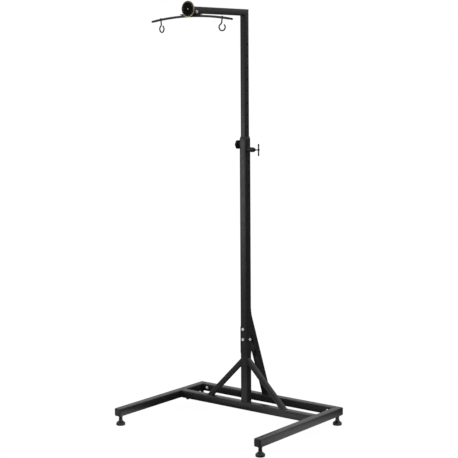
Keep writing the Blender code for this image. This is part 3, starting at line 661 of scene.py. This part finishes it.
def head_welds():
    """Beads on the arm's mitre and between bar, saddle and bracket."""
    bm = bmesh.new()
    slope = Vector((0, 1, 1)).normalized()
    mitre = 2 * HALF_INNER - 0.0004
    corner = Vector((0, MAST_Y, ARM_Z))
    frame_weld(bm, "mitre", corner, X, slope, mitre, mitre * math.sqrt(2), corner=0.0036)
    low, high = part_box("bar_saddle")
    saddle_half = 0.058             # half of the beads' run along the bar
    bracket_half = 0.0185           # half of the beads' run along the bracket
    steps = 24
    for sign in (-1, 1):
        points = []
        for step in range(steps + 1):
            x = saddle_half * (2 * step / steps - 1)
            spot = bar_axis(math.asin(x / BAR_BEND))
            points.append(spot + Vector((0, sign * 0.0042, 0.0044)))
        weld(bm, "bar", points)
        y = low.y - SEAM if sign < 0 else high.y + SEAM
        seam = high.z + SEAM
        weld(bm, "bracket", [Vector((-bracket_half, y, seam)), Vector((bracket_half, y, seam))])
    new_piece("head_welds", bm, "upper_mast", "powder_coat", sharp=WELD_SHARP)


def build_bar():
    """Curved bar with softened ends."""
    limit = math.asin(BAR_HALF / BAR_BEND)
    half_steps = 30
    path = [bar_axis(limit * (step / half_steps - 1)) for step in range(2 * half_steps + 1)]
    bm = bmesh.new()
    sweep(bm, path, BAR_R, sides=28)
    bar = new_piece("curved_bar", bm, "upper_mast", "powder_coat")
    round_edges(bar, 0.0006, segments=3)
    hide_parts("hanger_bar")


def build_bar_plugs():
    """Moulded end plugs. The right one stands a little way out on its neck."""
    stalk, head = 0.0020, 0.0052
    depth = 0.004                   # how far the stalk goes into the bar
    for side, sign in SIDES:
        neck = PLUG_NECK[side]
        profile = [
            (CORE, -depth), (stalk, -depth), (stalk, neck), (head, neck), (head, neck + 0.0016),
            (0.0049, neck + 0.0021), (0.0050, PLUG_LENGTH - 0.0032), (0.0036, PLUG_LENGTH),
            (CORE, PLUG_LENGTH),
        ]
        matrix = bar_frame(sign * BAR_HALF, sign * math.pi / 2, "Y")
        plug = new_piece(side + "_plug", turned(profile, 0.0007, matrix, steps=28), "upper_mast", "rubber")
        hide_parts(side + "_bar_plug")


def hook_path(offset):
    """Middle line of a hook in its own frame: a straight shank, a bend and an open loop."""
    top, bottom = HOOK_SHANK
    first, last = HOOK_ARC
    shank_steps, bend_steps, loop_steps = 27, 12, 71
    centre = Vector((offset, 0, -HOOK_DROP))

    def on_loop(angle):
        return centre + HOOK_LOOP_R * Vector((math.cos(angle), 0, math.sin(angle)))

    bend, start = Vector((0, 0, HOOK_BEND)), on_loop(first)
    pull = 0.0045                   # length of the bend's handles
    back = Vector((math.sin(first), 0, -math.cos(first)))
    handles = (bend, bend - pull * Z, start + pull * back, start)
    points = [Vector((0, 0, top + (bottom - top) * step / shank_steps)) for step in range(shank_steps + 1)]
    for step in range(1, bend_steps):
        t = step / bend_steps
        weights = ((1 - t) ** 3, 3 * t * (1 - t) ** 2, 3 * t * t * (1 - t), t ** 3)
        points.append(sum((w * h for w, h in zip(weights, handles)), Vector((0, 0, 0))))
    points += [on_loop(first + (last - first) * step / loop_steps) for step in range(loop_steps + 1)]
    return points


def build_hooks():
    """Bent wire hooks with a formed head above the bar and a rounded tip."""
    tip = ((0.5, 0.86), (0.8, 0.6), (0.95, 0.3))    # (distance past the end, radius), in wire radii
    head = [
        (CORE, 0.0082), (0.0023, 0.0080), (0.0038, 0.0074), (0.0046, 0.0065), (0.0048, 0.0060),
        (CORE, 0.0060),
    ]
    for side, x in HOOK_X.items():
        matrix = bar_frame(x, HOOK_TURN[side], "Z")
        path = [matrix @ point for point in hook_path(HOOK_OFFSET[side])]
        factors = [1.0] * len(path) + [radius for _, radius in tip]
        end, ahead = path[-1], (path[-1] - path[-2]).normalized()
        path += [end + ahead * HOOK_WIRE_R * distance for distance, _ in tip]
        bm = turned(head, 0.0005, matrix, steps=28)
        sweep(bm, path, HOOK_WIRE_R, sides=16, factors=factors)
        hook = new_piece(side + "_wire_hook", bm, side + "_hook", "blackened_steel", HOOK_STEEL)
        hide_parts(side + "_hook")


base_welds()
head_welds()
build_bar()
build_bar_plugs()
build_hooks()


# ---------------------------------------------------------------- screws and nuts
SPLICE_SCREW = {
    "flats": 0.013, "head": 0.0055, "shank": 0.008,
    "washer": 0.0014, "washer_r": 0.0088, "washer_slot": "blackened_steel",
}
CROSSBAR_SCREW = {
    "flats": 0.016, "head": 0.0068, "shank": 0.012,
    "washer": 0.0020, "washer_r": 0.0100, "washer_slot": "blackened_steel",
}
BRACKET_SCREW = {
    "flats": 0.012, "head": 0.0045, "shank": 2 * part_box("hanger_bracket")[1].x + 0.0080,
    "washer": 0.0012, "washer_r": 0.0078, "washer_slot": "zinc",
}
LOCK_NUT_FLATS = 0.0185
WASHER_CORNER = 0.0003
HEX_FACE = 0.96                 # round flat on a hexagon's face, as a share of its flats
HEX_CHAMFER = math.radians(30)


def hexagon(flats):
    """Shape that cuts a turned solid to a hexagon of a width over its flats."""

    def shape(radius, _height, angle):
        turn = (angle + math.pi / 6) % (math.pi / 3) - math.pi / 6
        return min(radius, flats / 2 / math.cos(turn))

    return shape


def hex_profile(flats, low, high, chamfer_low=True):
    """Profile of a hex prism with chamfered corners. The first and last points are on its faces."""
    corner = flats / 2 / math.cos(math.pi / 6)
    face = flats / 2 * HEX_FACE
    rise = (corner - face) * math.tan(HEX_CHAMFER)
    shares = (0.33, 0.66, 1.0)
    points = [(face if chamfer_low else corner, low)]
    if chamfer_low:
        points += [(face + (corner - face) * share, low + rise * share) for share in shares]
    points += [(face + (corner - face) * share, high - rise * share) for share in reversed(shares)]
    points.append((face, high))
    return points


def hex_head(name, node, body, slot, origin, axis, size):
    """Hex screw head on its washer, with a shallow dish in the head."""
    matrix = axis_matrix(origin, axis)
    flats, washer = size["flats"], size["washer"]
    shank_r = 0.0039
    base = washer + 0.0001          # the head's seat, just clear of the washer
    top = base + size["head"]
    profile = [(CORE, -size["shank"]), (shank_r, -size["shank"]), (shank_r, base)]
    profile += hex_profile(flats, base, top, chamfer_low=False)
    profile += [(flats * 0.34, top), (flats * 0.30, top - 0.0005), (CORE, top - 0.0006)]
    bm = bmesh.new()
    lathe(bm, profile, matrix, steps=72, shape=hexagon(flats))
    screw = new_piece(name, bm, body, slot, sharp=HEX_SHARP)
    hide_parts(node)
    add_washer(name + "_washer", body, size["washer_slot"], matrix, 0.0041, size["washer_r"], washer)


def add_washer(name, body, slot, matrix, inner, outer, thickness):
    """Flat washer round a screw."""
    ring = [(inner, 0.0), (outer, 0.0), (outer, thickness), (inner, thickness)]
    new_piece(name, turned(ring, WASHER_CORNER, matrix, closed=True), body, slot)


def dome_bolt(name, node, matrix):
    """Domed screw head with a round recess, on its washer."""
    dome = [
        (CORE, -0.012), (0.0039, -0.012), (0.0039, 0.0011), (0.0085, 0.0011), (0.0085, 0.0019),
        (0.0080, 0.0031), (0.0066, 0.0047), (0.0045, 0.0060), (0.0028, 0.0066), (0.0026, 0.0052),
        (CORE, 0.0050),
    ]
    bm = bmesh.new()
    lathe(bm, dome, matrix)
    bolt = new_piece(name, bm, "base", "zinc")
    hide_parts(node)
    add_washer(name + "_washer", "base", "blackened_steel", matrix, 0.0042, 0.0118, 0.0010)


def build_screws():
    """Splice, crossbar and bracket screws."""
    low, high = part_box("splice_sleeve")
    front, right = low.y - GAP, high.x + GAP
    upper, lower = middle("splice_bolt_upper").z, middle("splice_bolt_lower").z
    spots = (
        ("upper", Vector((0, front, upper)), -Y),
        ("lower", Vector((0, front, lower)), -Y),
        ("side", Vector((right, MAST_Y, lower)), X),
    )
    for name, origin, axis in spots:
        hex_head("splice_screw_" + name, "splice_bolt_" + name, "base", "zinc", origin, axis, SPLICE_SCREW)
    crossbar_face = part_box("rear_crossbar")[0].y - GAP
    for side in ("left", "right"):
        node = side + "_front_crossbar_bolt"
        origin = Vector((middle(node).x, MAST_Y, RAIL_BOTTOM - GAP))
        name = side + "_underside_screw"
        hex_head(name, node, "base", "blackened_steel", origin, -Z, CROSSBAR_SCREW)
        node = side + "_rear_crossbar_bolt"
        spot = middle(node)
        origin = Vector((spot.x, crossbar_face, spot.z))
        dome_bolt(side + "_dome_bolt", node, axis_matrix(origin, -Y))
    spot = middle("bracket_bolt")
    origin = Vector((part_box("hanger_bracket")[1].x + GAP, spot.y, spot.z))
    hex_head("bracket_screw", "bracket_bolt", "upper_mast", "zinc", origin, X, BRACKET_SCREW)


def build_lock_nuts():
    """Hex nuts with chamfered corners and a plain bore."""
    mouth, bore, lead = 0.0072, 0.0064, 0.0008
    for foot in FEET:
        node = foot + "_lock_nut"
        low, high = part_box(node)
        spot = (low + high) / 2
        matrix = Matrix.Translation((spot.x, spot.y, 0))
        profile = hex_profile(LOCK_NUT_FLATS, low.z, high.z)
        profile += [(mouth, high.z), (bore, high.z - lead), (bore, low.z + lead), (mouth, low.z)]
        bm = bmesh.new()
        lathe(bm, profile, matrix, steps=72, closed=True, shape=hexagon(LOCK_NUT_FLATS))
        nut = new_piece(foot + "_hex_nut", bm, "base", "blackened_steel", sharp=HEX_SHARP)
        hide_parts(node)


build_screws()
build_lock_nuts()


# ---------------------------------------------------------------- feet
STEM_R, STEM_PITCH = 0.0060, 0.00175
PAD_PROFILE = [
    (CORE, 0.0125), (0.0064, 0.0125), (0.0064, 0.0370), (0.0090, 0.0370), (0.0098, 0.0360),
    (0.0098, 0.0275), (0.0102, 0.0252), (0.0114, 0.0230), (0.0134, 0.0208), (0.0160, 0.0186),
    (0.0190, 0.0162), (0.0215, 0.0138), (0.0230, 0.0118), (0.0235, 0.0100), (0.0235, 0.0060),
    (0.0231, 0.0054), (0.0231, 0.0046), (0.0235, 0.0040), (0.0235, 0.0020), (0.0224, 0.0), (CORE, 0.0),
]


def build_feet():
    """Threaded stems in moulded pads."""
    for foot in FEET:
        low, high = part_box(foot + "_foot_stem")
        spot = (low + high) / 2
        matrix = Matrix.Translation((spot.x, spot.y, 0))
        bm = bmesh.new()
        threaded_rod(bm, matrix, STEM_R, STEM_PITCH, low.z, high.z)
        stem = new_piece(foot + "_threaded_stem", bm, foot + "_stem", "blackened_steel")
        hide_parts(foot + "_foot_stem")
        bm = turned(PAD_PROFILE, 0.0009, matrix, steps=72)
        pad = new_piece(foot + "_moulded_pad", bm, foot + "_pad", "black_plastic", FOOT_PLASTIC)
        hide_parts(foot + "_foot_pad")


build_feet()


# ---------------------------------------------------------------- rail end caps
SKIRT_WIDTH = 0.0354            # width of the part inside the rail
CAP_LAYERS = (                  # (width, corner radius, height from the face), from the skirt outward
    (SKIRT_WIDTH, 0.0024, -0.0165), (SKIRT_WIDTH, 0.0024, -0.0048), (0.0396, 0.0050, -0.0048),
    (0.0399, 0.0056, -0.0042), (0.0400, 0.0060, -0.0034), (0.0394, 0.0062, -0.0022),
    (0.0380, 0.0062, -0.0012), (0.0352, 0.0062, -0.0005), (0.0300, 0.0058, -0.0001), (0.0200, 0.0040, 0.0),
)


def build_end_caps():
    """Moulded plugs with a pillowed face and a skirt inside the rail."""
    for side in ("left", "right"):
        x = middle(side + "_rail").x
        for end, sign in (("front", -1), ("rear", 1)):
            node = f"{side}_{end}_end_cap"
            low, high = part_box(node)
            face = low.y if sign < 0 else high.y
            matrix = axis_matrix(Vector((x, face, (low.z + high.z) / 2)), sign * Y)
            rings = []
            for width, corner, height in CAP_LAYERS:
                outline = rounded_rectangle(width, width, corner, steps=8)
                rings.append([matrix @ Vector((u, v, height)) for u, v in outline])
            bm = bmesh.new()
            skin(bm, rings)
            cap = new_piece(f"{side}_{end}_moulded_cap", bm, "base", "black_plastic", CAP_PLASTIC)
            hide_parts(node)


build_end_caps()


# ---------------------------------------------------------------- clamp knob
KNOB_LOBES = 6
KNOB_RIM = 0.0240
LOBE_DEPTH = 0.0027
STUD_R, STUD_PITCH = 0.0040, 0.00125


def star(radius, _height, angle):
    """Shape that presses lobes into the knob's rim and leaves its hub round."""
    wave = 0.5 - 0.5 * math.cos(KNOB_LOBES * (angle - math.pi / 2))
    share = min(1.0, max(0.0, (radius / KNOB_RIM - 0.45) / 0.5))
    return radius - LOBE_DEPTH * wave ** 1.2 * share * share * (3 - 2 * share)


def build_knob():
    """Star knob with crowned lobes, a flared hub and a cap in its face, on a threaded stud in a boss."""
    matrix = axis_matrix(KNOB, -X)
    profile = [
        (0.0044, 0.0082), (0.0096, 0.0082), (0.0104, 0.0090), (0.0110, 0.0130), (0.0122, 0.0150),
        (0.0190, 0.0154), (0.0219, 0.0160), (0.0234, 0.0176), (KNOB_RIM, 0.0205), (KNOB_RIM, 0.0246),
        (0.0233, 0.0274), (0.0214, 0.0294), (0.0180, 0.0303), (0.0120, 0.0305), (0.0095, 0.0303),
        (0.0090, 0.0296), (0.0086, 0.0296), (0.0083, 0.0303), (0.0050, 0.0305), (CORE, 0.0305),
    ]
    bm = bmesh.new()
    lathe(bm, profile, matrix, steps=96, shape=star)
    knob = new_piece("star_knob", bm, "clamp", "black_plastic", KNOB_PLASTIC, KNOB_SHARP)
    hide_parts("clamp_knob")

    bm = bmesh.new()
    threaded_rod(bm, matrix, STUD_R, STUD_PITCH, 0.0, 0.0100, steps=20)
    end = [(CORE, -0.0036), (0.0028, -0.0036), (0.0036, -0.0028), (0.0037, 0.0002), (CORE, 0.0002)]
    lathe(bm, end, matrix, steps=32)
    stud = new_piece("knob_stud", bm, "clamp", "zinc")
    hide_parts("clamp_screw")

    collar = [
        (0.0044, 0.0072), (0.0044, GAP), (0.0100, GAP), (0.0097, 0.0020), (0.0090, 0.0060), (0.0078, 0.0072),
    ]
    boss = new_piece("clamp_boss", turned(collar, 0.0005, matrix, closed=True), "base", "powder_coat")
    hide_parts("clamp_nut")


# ---------------------------------------------------------------- pull pin
COILS = 5
COIL_WIRE_R = 0.0006
COIL_R = 0.0053
COIL_START, COIL_END = 0.0168, 0.0306       # along the pin from the mast's face
ROD_R = 0.0028
HANDLE_HALF = 0.031


def build_pin_barrel():
    """Turned barrel with a groove and a cone."""
    barrel = [
        (0.0043, 0.0034), (0.0043, 0.0), (0.0142, 0.0), (0.0142, 0.0058), (0.0126, 0.0074), (0.0124, 0.0082),
        (0.0124, 0.0200), (0.0119, 0.0206), (0.0119, 0.0216), (0.0124, 0.0222), (0.0124, 0.0338),
        (0.0106, 0.0372), (0.0070, 0.0432), (0.0052, 0.0458), (0.0034, 0.0460), (0.0034, 0.0315),
        (0.0076, 0.0315), (0.0076, 0.0034),
    ]
    bm = turned(barrel, 0.0005, axis_matrix(PIN, X), steps=64, closed=True)
    housing = new_piece("pin_barrel", bm, "base", "blackened_steel", PIN_STEEL)
    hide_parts("pin_housing")


def build_pin_spring():
    """Coil spring inside the barrel."""
    matrix = axis_matrix(PIN, X)
    per_turn = 20
    steps = COILS * per_turn
    path = []
    for step in range(steps + 1):
        angle = math.tau * step / per_turn
        height = COIL_START + (COIL_END - COIL_START) * step / steps
        path.append(matrix @ Vector((COIL_R * math.cos(angle), COIL_R * math.sin(angle), height)))
    bm = bmesh.new()
    sweep(bm, path, COIL_WIRE_R, sides=10)
    spring = new_piece("coil_spring", bm, "base", "spring_steel")
    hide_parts("pin_spring")
    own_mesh(spring)


def build_pin_rod():
    """Plunger with a flange for the spring and a thin rod out to the handle."""
    length = 0.0680
    rod = [
        (CORE, 0.0005), (ROD_R, 0.0005), (0.0040, 0.0022), (0.0040, 0.0172), (0.0068, 0.0172),
        (0.0068, 0.0202), (ROD_R, 0.0202), (ROD_R, length), (CORE, length),
    ]
    matrix = axis_matrix(Vector((HALF_INNER, MAST_Y, PIN.z)), X)
    bm = turned(rod, 0.0003, matrix, steps=40)
    plunger = new_piece("pin_rod", bm, "pin", "blackened_steel", PIN_STEEL)
    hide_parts("pin_plunger")


def build_pin_handle():
    """T handle with a collar on the rod and bulged ends."""
    half = HANDLE_HALF
    grip = [
        (CORE, -half), (0.0022, 0.0003 - half), (0.0038, 0.0020 - half), (0.0041, 0.0060 - half),
        (0.0038, 0.0100 - half), (0.0034, 0.0140 - half), (0.0034, -0.0068), (0.0040, -0.0058),
        (0.0052, -0.0048), (0.0052, 0.0048), (0.0040, 0.0058), (0.0034, 0.0068), (0.0034, half - 0.0140),
        (0.0037, half - 0.0090), (0.0039, half - 0.0055), (0.0037, half - 0.0021), (0.0022, half - 0.0003),
        (CORE, half),
    ]
    bm = turned(grip, 0.0006, axis_matrix(middle("pin_handle"), Z), steps=40)
    handle = new_piece("pin_t_handle", bm, "pin", "blackened_steel", PIN_STEEL)
    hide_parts("pin_handle")


build_knob()
build_pin_barrel()
build_pin_spring()
build_pin_rod()
build_pin_handle()


# ---------------------------------------------------------------- badge
def build_badge():
    """Rounded rim for the badge, with one thin ring and a small boss on its face."""
    low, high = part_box("badge_rim")
    matrix = axis_matrix(Vector((0, low.y, (low.z + high.z) / 2)), -Y)
    rim = [
        (0.0362, -0.0014), (0.0364, -0.0004), (0.0371, 0.0), (0.0384, 0.0), (0.0389, -0.0006),
        (0.0390, -0.0020), (0.0362, -0.0020),
    ]
    bm = turned(rim, 0.0003, matrix, steps=96, closed=True)
    ring = new_piece("badge_ring", bm, "upper_mast", "badge_gold")
    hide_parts("badge_rim")

    radius, half_width = 0.0305, 0.0003
    inner, outer = radius - half_width, radius + half_width
    line = [(inner, -0.00075), (radius, -0.00055), (outer, -0.00075), (outer, -0.0010), (inner, -0.0010)]
    boss = [(CORE, -0.0001), (0.0016, -0.0002), (0.0028, -0.0005), (0.0034, -0.0010), (CORE, -0.0010)]
    bm = bmesh.new()
    lathe(bm, line, matrix, steps=96, closed=True)
    lathe(bm, boss, matrix, steps=40)
    new_piece("badge_motif", bm, "upper_mast", "badge_gold")


build_badge()


# ---------------------------------------------------------------- studio
CAMERA_PLACE = (3.89708, -4.98396, 1.81923)
CAMERA_YAW, CAMERA_PITCH, CAMERA_ROLL = 0.662453, -0.126360, -0.0065488
CAMERA_LENS, CAMERA_SENSOR = 99.37, 36.0
FLOOR_SIZE = 60.0
FLOOR_COLOUR = (0.10, 0.10, 0.10)
FLOOR_SEEN = 0.95               # glow that the camera sees on the floor
POOLS = (                       # painted pools of light, glowing in the floor's own emission: centre, (inner, outer) radius, strength at each
    ((0.82, 0.10, 0.0), (0.28, 0.58), (0.92, 0.0)),
    ((-0.27, -0.27, 0.0), (0.06, 0.27), (1.15, 0.0)),
    ((-0.64, -0.56, 0.0), (0.05, 0.20), (1.20, 0.0)),
    ((0.21, -0.19, 0.0), (0.10, 0.36), (1.05, 0.0)),
    ((0.30, -0.54, 0.0), (0.03, 0.16), (0.60, 0.0)),
)
SKY_LOW, SKY_SIDE, SKY_TOP = 0.24, 0.74, 0.72
WHITE = (1.0, 1.0, 1.0)
BOX_PLACE, BOX_TARGET = (-2.2, -2.75, 0.95), (0, 0, 1.1)
BOX_SIZE = (1.5, 1.1)
BOX_POWER = 13.2


def aim_camera():
    """Camera to the front right, looking slightly down."""
    sin_yaw, cos_yaw = math.sin(CAMERA_YAW), math.cos(CAMERA_YAW)
    sin_pitch, cos_pitch = math.sin(CAMERA_PITCH), math.cos(CAMERA_PITCH)
    forward = Vector((-sin_yaw * cos_pitch, cos_yaw * cos_pitch, sin_pitch))
    right = Vector((cos_yaw, sin_yaw, 0))
    up = right.cross(forward)
    side = right * math.cos(CAMERA_ROLL) + up * math.sin(CAMERA_ROLL)
    top = up * math.cos(CAMERA_ROLL) - right * math.sin(CAMERA_ROLL)
    lens = bpy.data.cameras.new("camera")
    lens.lens = CAMERA_LENS
    lens.sensor_width = CAMERA_SENSOR
    lens.clip_start = 0.1
    lens.clip_end = 200.0
    camera = bpy.data.objects.new("camera", lens)
    bpy.context.scene.collection.objects.link(camera)
    turn = Matrix((side, top, -forward)).transposed().to_4x4()
    camera.matrix_world = Matrix.Translation(CAMERA_PLACE) @ turn
    bpy.context.scene.camera = camera


def add_floor():
    """Plain pale floor: even white to the eye, with painted pools of light glowing in it round the stand."""
    bm = bmesh.new()
    bmesh.ops.create_grid(bm, x_segments=2, y_segments=2, size=FLOOR_SIZE)
    mesh = bpy.data.meshes.new("floor")
    bm.to_mesh(mesh)
    bm.free()
    floor = bpy.data.objects.new("floor", mesh)
    bpy.context.scene.collection.objects.link(floor)
    pale = Finish("floor_paint", specular=0.0)
    pale.colour(FLOOR_COLOUR)
    pale.roughness(1.0)
    glow = 0.0
    # painted light: each pool is glow in the floor's emission, not light from a lamp
    for centre, reach, strengths in POOLS:
        offset = pale.add("ShaderNodeVectorMath", operation="DISTANCE")
        pale.feed(offset, 0, pale.place)
        pale.feed(offset, 1, centre)
        pool = pale.ramp(offset.outputs["Value"], reach, strengths, "SMOOTHSTEP")
        glow = pale.arithmetic("ADD", glow, pool)
    pale.feed(pale.shader, "Emission Color", WHITE)
    pale.feed(pale.shader, "Emission Strength", pale.for_camera(FLOOR_SEEN, glow))
    mesh.materials.append(pale.material)


def add_softbox():
    """Soft rectangular light at the front left."""
    data = bpy.data.lights.new("front_left_box", "AREA")
    data.shape = "RECTANGLE"
    data.size, data.size_y = BOX_SIZE
    data.energy = BOX_POWER
    light = bpy.data.objects.new("front_left_box", data)
    bpy.context.scene.collection.objects.link(light)
    light.location = BOX_PLACE
    aim = (Vector(BOX_TARGET) - Vector(BOX_PLACE)).normalized()
    light.rotation_mode = "QUATERNION"
    light.rotation_quaternion = aim.to_track_quat("-Z", "Y")
    light.visible_camera = False


def light_sky():
    """White surroundings to the eye, that light the stand from above and the sides and less from below."""
    world = bpy.data.worlds.new("studio")
    bpy.context.scene.world = world
    world.use_nodes = True
    sky = Nodes(world.node_tree)
    parts = sky.add("ShaderNodeSeparateXYZ")
    sky.feed(parts, 0, sky.add("ShaderNodeTexCoord").outputs["Generated"])
    height = parts.outputs["Z"]
    low = sky.ramp(height, (-0.02, 0.20), (SKY_LOW, SKY_SIDE), "SMOOTHSTEP")
    high = sky.ramp(height, (0.2, 0.9), (1.0, SKY_TOP / SKY_SIDE), "SMOOTHSTEP")
    lit = sky.arithmetic("MULTIPLY", low, high)
    shade = sky.tree.nodes["Background"]
    sky.feed(shade, "Color", WHITE)
    sky.feed(shade, "Strength", sky.for_camera(1.0, lit))
    bpy.context.scene.view_settings.view_transform = "Standard"


aim_camera()
add_floor()
light_sky()
add_softbox()
